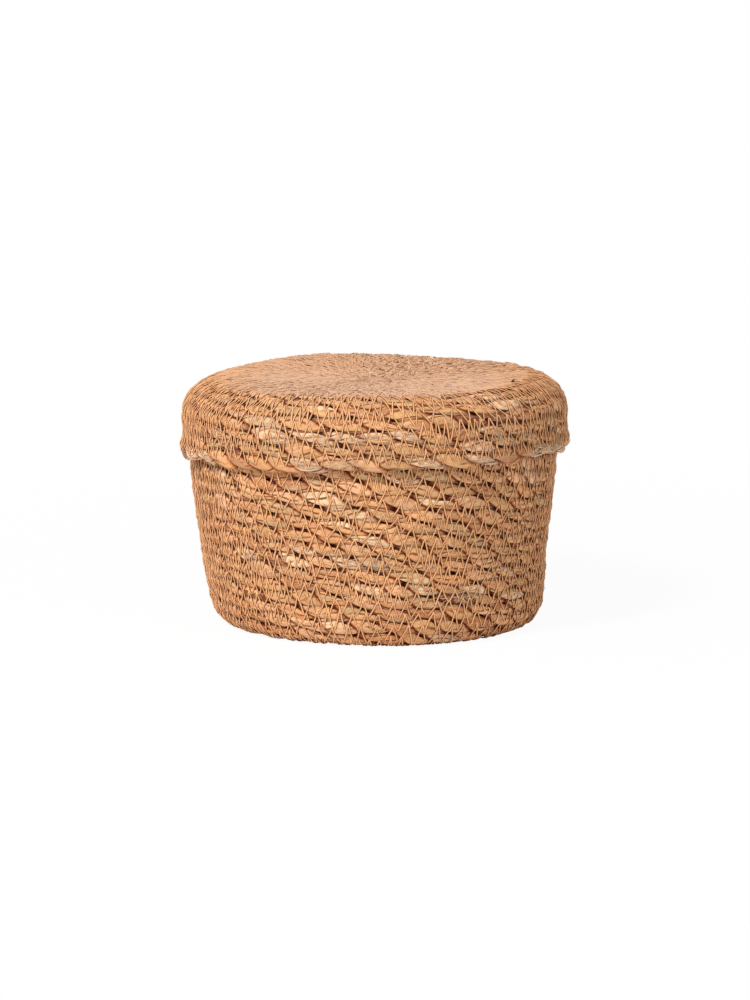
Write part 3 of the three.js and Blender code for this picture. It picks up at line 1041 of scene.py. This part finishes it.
def tuft_fibres(rope, tufts, seed):
    rng = np.random.default_rng(seed)
    rings = len(rope.run)
    offsets = np.repeat(np.array(TUFT_OFFSETS) * PITCH, rings)
    starts = np.tile(rope.along, len(TUFT_OFFSETS)) + offsets
    seen, hidden = front_view(rope.shell, np.tile(rope.angle, len(TUFT_OFFSETS)), starts)
    made = []
    for right, high, width, height, count, heading, spread, long, lift, thick, *tones in tufts:
        nearest = np.argmin(np.hypot(seen[:, 0] - right, seen[:, 1] - high) + hidden)
        run = rope.run[nearest % rings] + rng.normal(0, width / 2, count) * MM
        tubes = fibre_tubes(
            rope, run, offsets[nearest] + rng.normal(0, height / 2, count) * MM,
            np.radians(heading + rng.normal(0, spread, count)) * rope.shell.twist,
            rng.uniform(TUFT_LEAST_SHARE, 1, count) * long * MM,
            rng.normal(0, TUFT_CURL, count), rng.uniform(0, lift, count) * MM,
            rng.uniform(TUFT_LEAST_SHARE, 1, count) * thick * MM,
            rng.random(count) < TUFT_FREE, HAIR["points"],
        )
        made.append((tubes, rng.uniform(*tones, count)))
    return made


# Materials

LEAF_WIDTH, EDGE_LEAF_WIDTH = 2.7 * MM, 3.4 * MM
STRIP_DRIFT = 2.4
STRIP_MIDDLE = 0.5
STREAK_DEPTH, FIBROUS_STREAK_DEPTH, BROAD_STREAK_DEPTH = 0.05, 0.12, 0.09
GAP_SHARE = 0.6
SPOT_SHARE, FIBROUS_SPOT_SHARE = 0.13, 0.6
BROAD_RELIEF, EDGE_RELIEF = 1.3, 3.0
LEAF_GLOSS = 0.14
LEAF_BUMP = (0.1 * MM, 0.7)
PLY_TURNS = 9.0
PLY_SHADE = 0.06
THREAD_SIDE_RANGE = (0.45, 0.85)
THREAD_ROUGHNESS, THREAD_GLOSS = 0.55, 0.2
THREAD_BUMP = (0.05 * MM, 0.5)
FIBRE_ROUGHNESS, FIBRE_GLOSS = 0.6, 0.2
# How the haze of fluff changes from front to back, and to the left and right sides: less pale
# haze at the back and sides is painted shade there
HAZE_DEPTH_RANGE, HAZE_FRONT, HAZE_BACK = (-20 * MM, 70 * MM), 1.15, 0.6
HAZE_SIDE_RANGE, HAZE_SIDE = (58 * MM, 92 * MM), 0.3
# Noise over the leaves: waves per metre round and along the rope, step to the next lobe,
# detail, roughness
PATTERNS = {
    "drift": ((0.0, 48.0, 1.7), 1.0, 0.5),
    "fine": ((2300.0, 95.0, 7.3), 3.0, 0.6),
    "broad": ((620.0, 38.0, 3.1), 2.0, 0.5),
    "spots": ((1300.0, 330.0, 5.7), 2.0, 0.6),
    "dry": ((420.0, 45.0, 9.1), 2.0, 0.6),
    "shreds": ((900.0, 42.0, 5.3), 2.0, 0.6),
    "edges": ((0.0, 90.0, 2.9), 1.0, 0.5),
}
# From which value to which, and what they become
RAMPS = {
    "streaks": (0.3, 0.7, -1.0, 1.0),
    "strip shade": (0.0, 1.0, -0.1, 0.06),
    "leaf shade": (0.0, 1.0, -0.12, 0.1),
    "dry": (0.5, 0.68, 0.0, 0.5),
    "gaps": (0.36, 0.46, 1.0, 0.0),
    "spots": (0.55, 0.72, 0.0, 1.0),
    "edge shows": (0.4, 0.56, 0.0, 1.0),
    "edge": (0.05, 0.16, 0.92, 0.0),
    "groove": (0.35, 0.95, 0.0, 1.0),
    "crease shade": (0.0, 0.5, 0.0, 1.0),
    "crease dark": (0.2, 0.9, 0.0, 0.93),
    "roughness": (-1.0, 1.0, 0.5, 0.7),
    "floor": (0.16, 0.7, 0.95, 1.0),
}


class Nodes:
    """A short way to write the nodes of a material or the world."""

    def __init__(self, owner, empty=False):
        owner.use_nodes = True
        self.tree = owner.node_tree
        if empty:
            self.tree.nodes.clear()

    def set(self, node, inputs):
        for socket, value in inputs.items():
            if isinstance(value, bpy.types.NodeSocket):
                self.tree.links.new(value, node.inputs[socket])
            else:
                node.inputs[socket].default_value = value

    def add(self, kind, inputs=None, **settings):
        node = self.tree.nodes.new("ShaderNode" + kind)
        for name, value in settings.items():
            setattr(node, name, value)
        self.set(node, inputs or {})
        return node

    def attribute(self, name, output="Fac"):
        return self.add("Attribute", attribute_name=name).outputs[output]

    def math(self, operation, a, b=0.0):
        return self.add("Math", {0: a, 1: b}, operation=operation).outputs[0]

    def plus(self, a, b):
        return self.math("ADD", a, b)

    def times(self, a, b):
        return self.math("MULTIPLY", a, b)

    def pattern(self, name, place):
        scale, detail, roughness = PATTERNS[name]
        scaled = self.add("VectorMath", {0: place, 1: scale}, operation="MULTIPLY").outputs[0]
        inputs = {"Vector": scaled, "Scale": 1.0, "Detail": detail, "Roughness": roughness}
        return self.add("TexNoise", inputs).outputs["Fac"]

    def ramp(self, value, low, high, to_low, to_high):
        inputs = {"Value": value, 1: low, 2: high, 3: to_low, 4: to_high}
        return self.add("MapRange", inputs).outputs[0]

    def ramped(self, name, value):
        return self.ramp(value, *RAMPS[name])

    def mix(self, share, a, b, blend="MIX"):
        node = self.add("Mix", {0: share, 6: a, 7: b}, data_type="RGBA", blend_type=blend)
        return node.outputs[2]

    def shaded(self, colour, shade):
        grey = self.add("CombineColor", {0: shade, 1: shade, 2: shade}).outputs[0]
        return self.mix(1.0, colour, grey, "MULTIPLY")

    def steps(self, value, colours):
        """One of the leaves' colours, each over its share from 0 to 1."""
        node = self.add("ValToRGB", {0: value})
        ramp = node.color_ramp
        ramp.interpolation = "CONSTANT"
        for number, (leaf, start) in enumerate(zip(colours, leaf_starts)):
            stop = ramp.elements[0] if number == 0 else ramp.elements.new(start)
            stop.color = leaf
        ramp.elements[len(colours)].position = 1.0
        ramp.elements[len(colours)].color = colours[-1]
        return node.outputs[0]

    def hazed(self, colour, share):
        """Fluff over a colour, which fades from the front to the back and to the sides, a painted
        shade there.
        """
        if not share:
            return colour
        place = self.add("TexCoord").outputs["Object"]
        right, back = self.add("SeparateXYZ", {0: place}).outputs[:2]
        front, behind = share * HAZE_FRONT, share * HAZE_BACK
        haze = self.ramp(back, *HAZE_DEPTH_RANGE, front, behind)
        side = self.ramp(self.math("ABSOLUTE", right), *HAZE_SIDE_RANGE, 1.0, HAZE_SIDE)
        return self.mix(self.times(haze, side), colour, HAZE)

    def surface(self, colour, roughness, gloss, height=None, bump=(0.0, 0.0)):
        shader = self.tree.nodes["Principled BSDF"]
        inputs = {"Base Color": colour, "Roughness": roughness, "Specular IOR Level": gloss}
        if height:
            distance, strength = bump
            relief = {"Height": height, "Distance": distance, "Strength": strength}
            inputs["Normal"] = self.add("Bump", relief).outputs[0]
        self.set(shader, inputs)

    def end(self, output, share, first, second):
        """Mix two shaders by a share into the tree's output."""
        mix = self.add("MixShader", {0: share, 1: first.outputs[0], 2: second.outputs[0]})
        self.add(output, {0: mix.outputs[0]})


def rope_material(name, leaf_width=LEAF_WIDTH, haze=0.0, light=1.0, mixed=0.2):
    """Dry grass leaf: strips along the rope, streaks, pale fibres, and painted shade that darkens
    creases, gaps and the rows' sides.
    """
    material = bpy.data.materials.new(name)
    n = Nodes(material)
    place = n.attribute("grain_place", "Vector")
    crease = n.attribute("crease")
    # Which leaf strip this is, and how near its edge; a share of the strips is mixed in
    around = n.add("SeparateXYZ", {0: place}).outputs[0]
    drift = n.times(n.pattern("drift", place), STRIP_DRIFT)
    strips = n.plus(n.times(around, 1 / leaf_width), drift)
    edge = n.math("PINGPONG", strips, STRIP_MIDDLE)
    key = n.add("CombineXYZ", {0: n.math("FLOOR", strips), 1: n.attribute("lobe")})
    luck = n.add("TexWhiteNoise", {"Vector": key.outputs[0]}, noise_dimensions="3D")
    chance = n.add("SeparateColor", {0: luck.outputs["Color"]})
    own = n.math("GREATER_THAN", luck.outputs["Value"], 1 - mixed)
    leaves = {0: own, 2: n.attribute("leaf"), 3: chance.outputs[0]}
    leaf = n.add("Mix", leaves, data_type="FLOAT").outputs[0]
    colour = n.steps(leaf, [shown for shown, fibres, share in LEAVES])
    fibrous = n.steps(leaf, [(fibres, fibres, fibres, 1.0) for shown, fibres, share in LEAVES])
    # Streaks along the leaf
    streak = n.ramped("streaks", n.pattern("fine", place))
    broad = n.ramped("streaks", n.pattern("broad", place))
    depth = n.plus(STREAK_DEPTH, n.times(fibrous, FIBROUS_STREAK_DEPTH))
    shade = n.plus(light, n.times(streak, depth))
    shade = n.plus(shade, n.times(broad, BROAD_STREAK_DEPTH))
    shade = n.plus(shade, n.ramped("strip shade", chance.outputs[1]))
    shade = n.plus(shade, n.ramped("leaf shade", n.attribute("leaf_tone")))
    colour = n.shaded(colour, shade)
    # Parts of the leaves have dried to a duller, paler tan
    colour = n.mix(n.ramped("dry", n.pattern("dry", place)), colour, DRY_TAN)
    # Fibrous leaves are split into pale shreds, with painted shade in the gaps between them
    gap = n.times(n.ramped("gaps", n.pattern("shreds", place)), fibrous)
    colour = n.mix(n.times(gap, GAP_SHARE), colour, LEAF_EDGE_AND_GAP_SHADE)
    pale = n.plus(SPOT_SHARE, n.times(fibrous, FIBROUS_SPOT_SHARE))
    pale = n.times(n.ramped("spots", n.pattern("spots", place)), pale)
    colour = n.mix(pale, colour, FIBRE_PALE)
    # Painted shade: brown lines where one leaf's edge lies on the next, darker rows' sides and
    # darker creases
    line = n.times(n.ramped("edge", edge), n.ramped("edge shows", n.pattern("edges", place)))
    colour = n.hazed(n.mix(line, colour, LEAF_EDGE_AND_GAP_SHADE), haze)
    groove = n.ramped("groove", n.attribute("groove"))
    colour = n.mix(groove, colour, GROOVE_SHADE, "MULTIPLY")
    colour = n.mix(n.ramped("crease shade", crease), colour, CREASE_SHADE, "MULTIPLY")
    colour = n.mix(n.ramped("crease dark", crease), colour, CREASE_DARK_SHADE)
    height = n.plus(streak, n.times(broad, BROAD_RELIEF))
    height = n.math("SUBTRACT", height, n.times(line, EDGE_RELIEF))
    n.surface(colour, n.ramped("roughness", streak), LEAF_GLOSS, height, LEAF_BUMP)
    return material


def thread_material(name, haze=0.0, side_shade=1.0, light=1.0):
    """Sewing thread: its two plies wind round it, its sides and skirt get painted shade, and
    fluff hazes it on the lid's top.
    """
    material = bpy.data.materials.new(name)
    n = Nodes(material)
    place = n.attribute("grain_place", "Vector")
    around, along = n.add("SeparateXYZ", {0: place}).outputs[:2]
    ply = n.plus(around, n.times(along, PLY_TURNS))
    ply = n.math("SINE", n.times(ply, 2 * TURN))
    shade = n.times(n.plus(n.attribute("tone"), n.times(ply, PLY_SHADE)), light)
    # Its sides and the skirt beside it are painted brown with shade
    side = n.ramp(n.attribute("bare"), *THREAD_SIDE_RANGE, side_shade, 0.0)
    colour = n.mix(side, n.shaded(THREAD, shade), THREAD_SIDE_SHADE)
    colour = n.hazed(colour, haze)
    n.surface(colour, THREAD_ROUGHNESS, THREAD_GLOSS, ply, THREAD_BUMP)
    return material


def fibre_material(name, dark, pale):
    """Loose fibres, each between a dark and a pale colour."""
    material = bpy.data.materials.new(name)
    n = Nodes(material)
    colour = n.mix(n.attribute("tone"), dark, pale)
    n.surface(colour, FIBRE_ROUGHNESS, FIBRE_GLOSS)
    return material


basket_leaf = rope_material("basket_grass_rope")
lid_top_leaf = rope_material("lid_top_grass_rope", haze=0.5, light=0.95)
lid_leaf = rope_material("lid_grass_rope", light=0.95)
edge_leaf = rope_material(
    "lid_edge_grass_rope", leaf_width=EDGE_LEAF_WIDTH, light=0.97, mixed=0.04
)
thread = thread_material("sewing_thread")
lid_thread = thread_material("lid_sewing_thread", light=0.95)
lid_top_thread = thread_material("lid_top_sewing_thread", haze=0.55, side_shade=0.5, light=0.95)
fibre = fibre_material("loose_fibre", FIBRE_DARK, FIBRE_PALE)
fluff = fibre_material("lid_top_fluff", HAZE_DARK, HAZE_PALE)
wall_fluff = fibre_material("wall_fluff", FLUFF_BROWN, FLUFF_TAN)

# The pieces of the two ropes, each to its end along the row line


def rope_pieces(rope, body, rows):
    first = 0
    for name, end, material, slot, nodes in rows:
        last = min(int(np.searchsorted(rope.along, end)), len(rope.run) - 1)
        add_rope(name, rope, first, last, material, body, nodes)
        first = last


basket_rope = Rope(
    basket, seed=100, spacing=1.15 * MM, lay=BASKET_LAY_LENGTH, braid_swell=0.02,
    crease_depth=0.26, leaf_seed=501, marks=BASKET_MARKS,
)
lid_rope = Rope(
    lid, seed=200, spacing=1.1 * MM, lay=LID_LAY_LENGTH, braid_swell=0.1,
    crease_depth=0.40, leaf_seed=502, marks=LID_MARKS,
)
rope_pieces(basket_rope, "basket", [
    ("basket_base_rope", basket.up_wall(0), basket_leaf, "basket_rope", ["basket_base_coil"]),
    ("basket_foot_rope", basket.up_wall(0.34), basket_leaf, "basket_rope", ["basket_wall_coil"]),
    ("basket_belly_rope", basket.up_wall(0.67), basket_leaf, "basket_rope", []),
    ("basket_upper_rope", basket.up_wall(1), basket_leaf, "basket_rope", []),
    ("basket_edge_rope", basket.end, basket_leaf, "basket_rope", ["basket_rim_braid"]),
])
rope_pieces(lid_rope, "lid", [
    ("lid_top_rope", lid.up_wall(0), lid_top_leaf, "lid_rope", ["lid_top_coil"]),
    ("lid_shoulder_rope", lid.up_wall(0.5), lid_leaf, "lid_rope", ["lid_wall_coil"]),
    ("lid_side_rope", lid.up_wall(1), lid_leaf, "lid_rope", []),
    ("lid_edge_rope", lid.end, edge_leaf, "lid_edge_rope", ["lid_rim_braid"]),
])

# The pieces of the threads: the outer stitches cut at places along the row line, and the inner

INNER_SEED = 50


def thread_pieces(rope, mean_step, seed, body, cuts, materials):
    tubes, tones, places = zigzag(rope, mean_step, seed, False)
    starts = np.searchsorted(places, [0.0] + cuts)
    ends = np.append(starts[1:], len(tones))
    for number, (start, end, material) in enumerate(zip(starts, ends, materials), 1):
        add_tubes(
            f"{body}_thread_outer_{number}", tubes[start:end], tones[start:end], material,
            body, OUTER_PROFILE,
        )
    tubes, tones, places = zigzag(rope, mean_step, seed + INNER_SEED, True)
    add_tubes(f"{body}_thread_inner", tubes, tones, thread, body, INNER_PROFILE)


thread_pieces(
    basket_rope, BASKET_STITCH, 601, "basket", [basket.up_wall(0), basket.up_wall(0.5)],
    [thread] * 3,
)
thread_pieces(
    lid_rope, LID_STITCH, 701, "lid", [lid.up_wall(0) + PITCH / 2], [lid_top_thread, lid_thread]
)

# The pieces of the fibres


def add_fibres(name, made, material, body):
    tubes = np.concatenate([tubes for tubes, tones in made])
    tones = np.concatenate([tones for tubes, tones in made])
    add_tubes(name, tubes, tones, material, body)


def add_hairs(body, rope, seed, hairs, dark_hairs, tufts):
    """Torn strips, pale and dark hairs, and frayed places."""
    add_fibres(f"{body}_fibres", [
        torn_strips(rope, seed),
        scattered_fibres(rope, hairs, seed + 1, HAIR_TONES),
        scattered_fibres(rope, dark_hairs, seed + 2, DARK_HAIR_TONES),
        *tuft_fibres(rope, tufts, seed + 3),
    ], fibre, body)


def fluff_on(rope, count, seed, first=None, last=None):
    return scattered_fibres(rope, count, seed, FLUFF_TONES, FLUFF, first, last)


add_hairs("basket", basket_rope, seed=801, hairs=1400, dark_hairs=300, tufts=BASKET_TUFTS)
add_fibres("basket_fluff", [fluff_on(basket_rope, 7000, seed=805)], wall_fluff, "basket")
add_hairs("lid", lid_rope, seed=901, hairs=1100, dark_hairs=200, tufts=LID_TUFTS)
top_fluff = [
    fluff_on(lid_rope, 600, seed=905, first=2 * MM, last=18 * MM),
    fluff_on(lid_rope, 10000, seed=906, first=4 * MM, last=lid.up_wall(0) + PITCH),
]
add_fibres("lid_top_fluff", top_fluff, fluff, "lid")
add_fibres("lid_side_fluff", [fluff_on(lid_rope, 5000, seed=907)], wall_fluff, "lid")
shoulder_fluff = tuft_fibres(lid_rope, LID_SHOULDER_FLUFF, seed=908)
add_fibres("lid_shoulder_fluff", shoulder_fluff, wall_fluff, "lid")
side_fluff = tuft_fibres(basket_rope, BASKET_SIDE_FLUFF, seed=806)
add_fibres("basket_side_fluff", side_fluff, wall_fluff, "basket")

# Floor, backdrop and light, with lengths in metres

FLOOR_HALF = 4.0
FLOOR_DEPTH = 0.05 * MM
SOFT_LIGHT = 0.35
LAMP_AIM = (0.0, 0.0, 70 * MM)
LAMPS = [
    # name, place, size, power
    ("key", (-0.81, -1.08, 1.54), 0.46, 32.5),
    ("fill", (1.6, -1.2, 0.9), 1.2, 4.1),
]


def add_floor():
    """A floor that is all white well away from the object, whose soft shadow stays."""
    half = FLOOR_HALF
    corners = [(-half, -half, 0), (half, -half, 0), (half, half, 0), (-half, half, 0)]
    mesh = bpy.data.meshes.new("floor")
    mesh.from_pydata(corners, [], [(0, 1, 2, 3)])
    floor = bpy.data.objects.new("floor", mesh)
    floor.location.z = -FLOOR_DEPTH
    bpy.context.scene.collection.objects.link(floor)
    material = bpy.data.materials.new("floor")
    mesh.materials.append(material)
    n = Nodes(material, empty=True)
    diffuse = n.add("BsdfDiffuse", {"Color": FLOOR_GREY})
    glow = n.add("Emission", {"Color": WHITE, "Strength": 1.0})
    place = n.add("TexCoord").outputs["Object"]
    far = n.add("VectorMath", {0: place}, operation="LENGTH").outputs["Value"]
    seen = n.add("LightPath").outputs["Is Camera Ray"]
    n.end("OutputMaterial", n.times(seen, n.ramped("floor", far)), diffuse, glow)


def add_world():
    """Soft light from all round, in which the camera and gloss see plain white."""
    world = bpy.data.worlds.new("studio")
    bpy.context.scene.world = world
    n = Nodes(world, empty=True)
    soft = n.add("Background", {"Color": WHITE, "Strength": SOFT_LIGHT})
    white = n.add("Background", {"Color": WHITE, "Strength": 1.0})
    path = n.add("LightPath").outputs
    seen = n.math("MAXIMUM", path["Is Camera Ray"], path["Is Glossy Ray"])
    n.end("OutputWorld", seen, soft, white)


def add_lamp(name, place, size, power):
    data = bpy.data.lights.new(name, "AREA")
    data.shape = "DISK"
    data.size = size
    data.energy = power
    lamp = bpy.data.objects.new(name, data)
    lamp.location = place
    aim = Vector(LAMP_AIM) - Vector(place)
    lamp.rotation_euler = aim.to_track_quat("-Z", "Y").to_euler()
    bpy.context.scene.collection.objects.link(lamp)


add_floor()
add_world()
for lamp in LAMPS:
    add_lamp(*lamp)

scene = bpy.context.scene
scene.view_settings.view_transform = "Standard"
